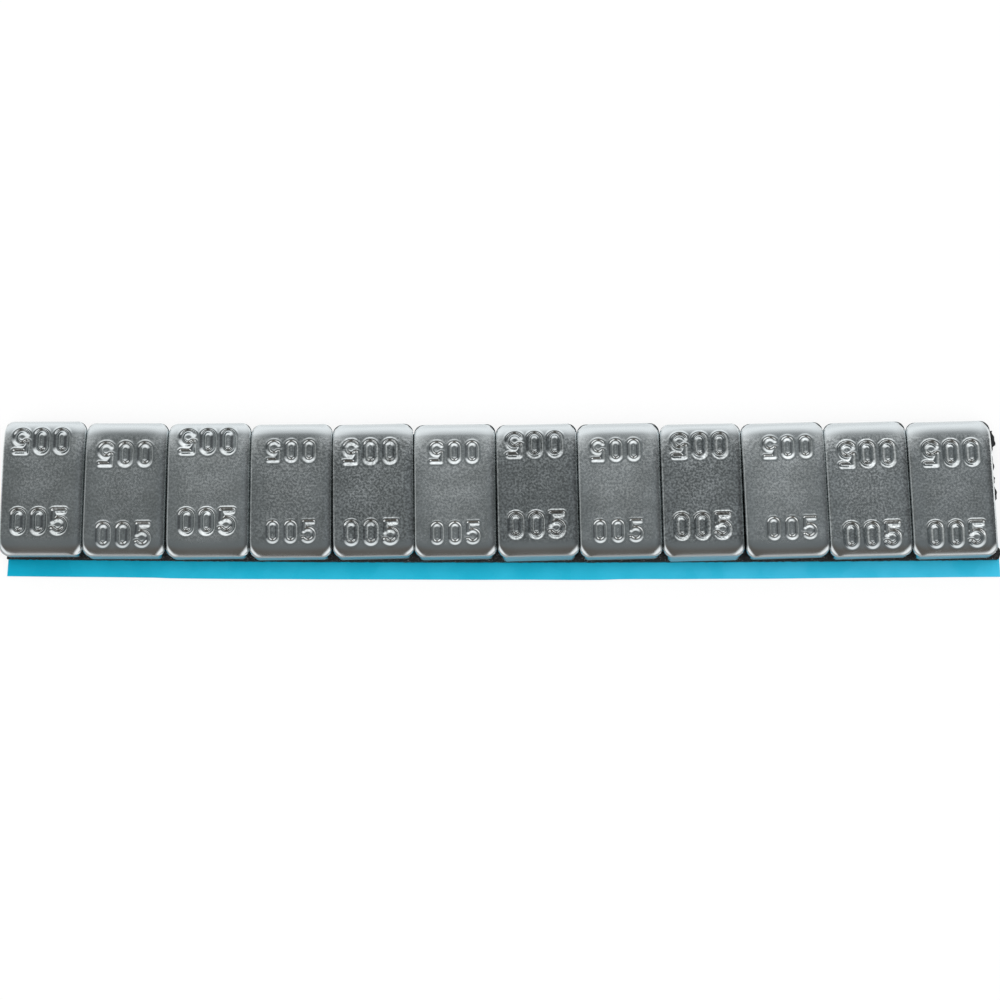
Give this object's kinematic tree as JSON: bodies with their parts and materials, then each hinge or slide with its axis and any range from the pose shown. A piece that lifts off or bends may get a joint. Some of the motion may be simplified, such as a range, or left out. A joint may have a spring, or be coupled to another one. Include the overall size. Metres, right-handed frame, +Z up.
{
  "type": "stick-on wheel balance weight strip",
  "caption": "Flat strip of rounded zinc-plated steel balance weights side by side on black foam tape, with a blue peel-off film that stands out along one long side for gripping.",
  "frame": {"origin": "middle of the row of weights, on the lower face of the release film", "axes": "+X along the strip, +Y across it away from the side where the film stands out, +Z up through the tape and the steel"},
  "size_m": [0.14, 0.0222, 0.0042],
  "materials": {
    "zinc_steel": "tumbled and zinc plated, satin",
    "foam": "matt closed-cell foam",
    "film": "smooth glossy film"
  },
  "bodies": {
    "root": {"weight_01": "zinc_steel", "weight_02": "zinc_steel", "weight_03": "zinc_steel", "weight_04": "zinc_steel", "weight_05": "zinc_steel", "weight_06": "zinc_steel", "weight_07": "zinc_steel", "weight_08": "zinc_steel", "weight_09": "zinc_steel", "weight_10": "zinc_steel", "weight_11": "zinc_steel", "weight_12": "zinc_steel", "foam_tape": "foam", "release_film": "film"}
  },
  "joints": []
}
